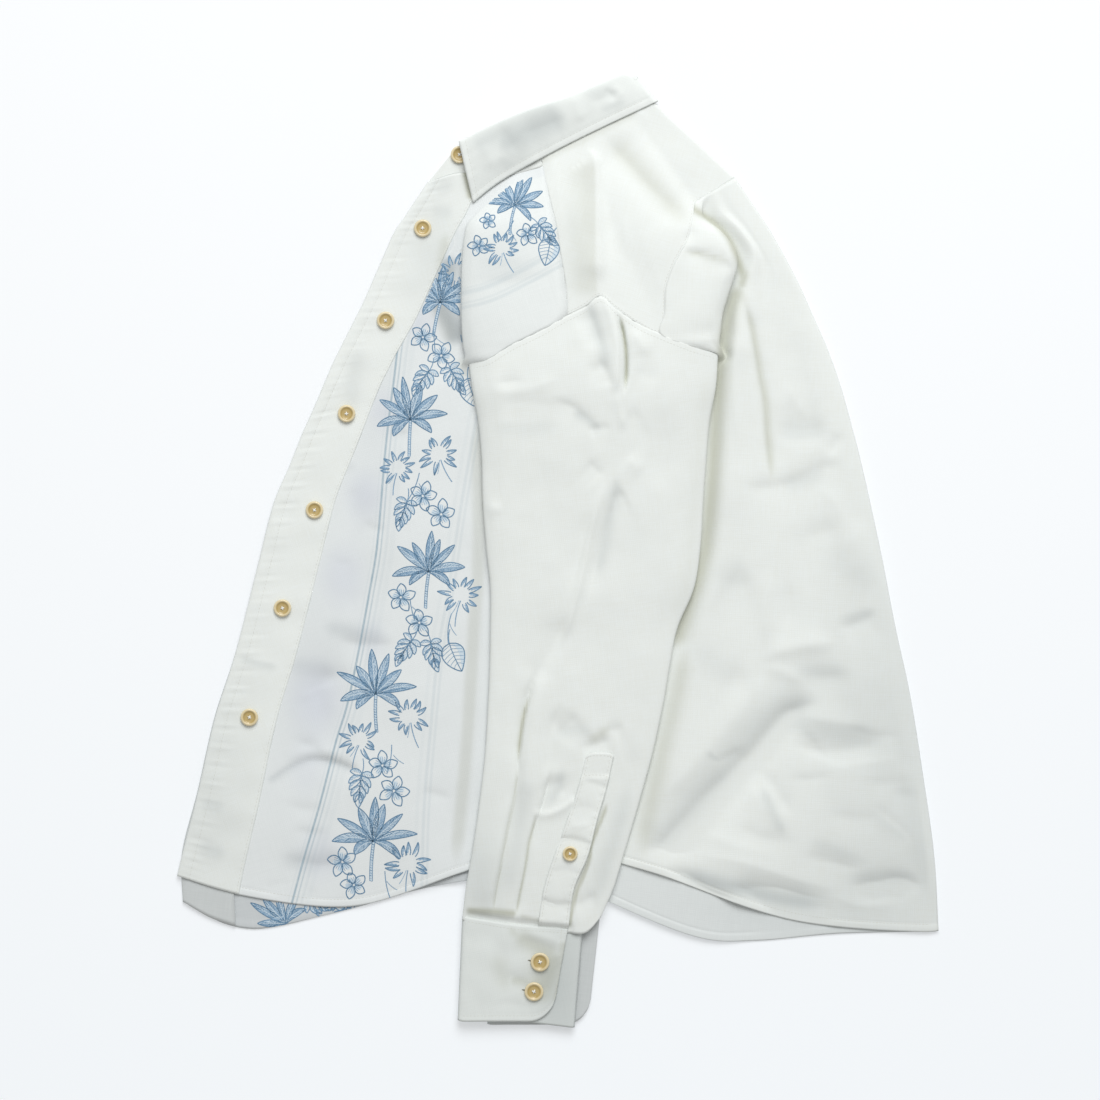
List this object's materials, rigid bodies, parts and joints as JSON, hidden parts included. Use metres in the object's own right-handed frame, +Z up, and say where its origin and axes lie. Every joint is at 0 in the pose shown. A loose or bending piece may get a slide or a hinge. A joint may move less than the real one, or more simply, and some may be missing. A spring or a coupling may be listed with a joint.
{
  "type": "aloha shirt",
  "caption": "Long-sleeved aloha shirt of pale linen with a palm and flower print down its fronts, buttoned, folded in half and laid on its side with one sleeve down over the body.",
  "frame": {"origin": "middle of the shirt's outline, on the surface it lies on", "axes": "+Z up out of the surface, +Y from hem to neck, +X from the front edge to the centre-back fold"},
  "size_m": [0.6608, 0.8282, 0.026],
  "materials": {
    "plain_linen": "matte slubbed linen, warm off-white",
    "printed_linen": "matte slubbed linen, cool white, printed in blue",
    "button": "satin tan with a paler rim"
  },
  "bodies": {
    "root": {"back": "plain_linen", "yoke": "plain_linen", "collar_leaf": "plain_linen", "collar_stand": "plain_linen", "left_sleeve": "plain_linen", "left_sleeve_placket": "plain_linen", "left_cuff": "plain_linen", "right_sleeve": "plain_linen", "right_cuff": "plain_linen", "left_front_placket": "plain_linen", "right_front_placket": "plain_linen", "left_front": "printed_linen", "right_front": "printed_linen", "front_button_1": "button", "front_button_2": "button", "front_button_3": "button", "front_button_4": "button", "front_button_5": "button", "front_button_6": "button", "front_button_7": "button", "cuff_button_1": "button", "cuff_button_2": "button", "sleeve_placket_button": "button"}
  },
  "joints": []
}
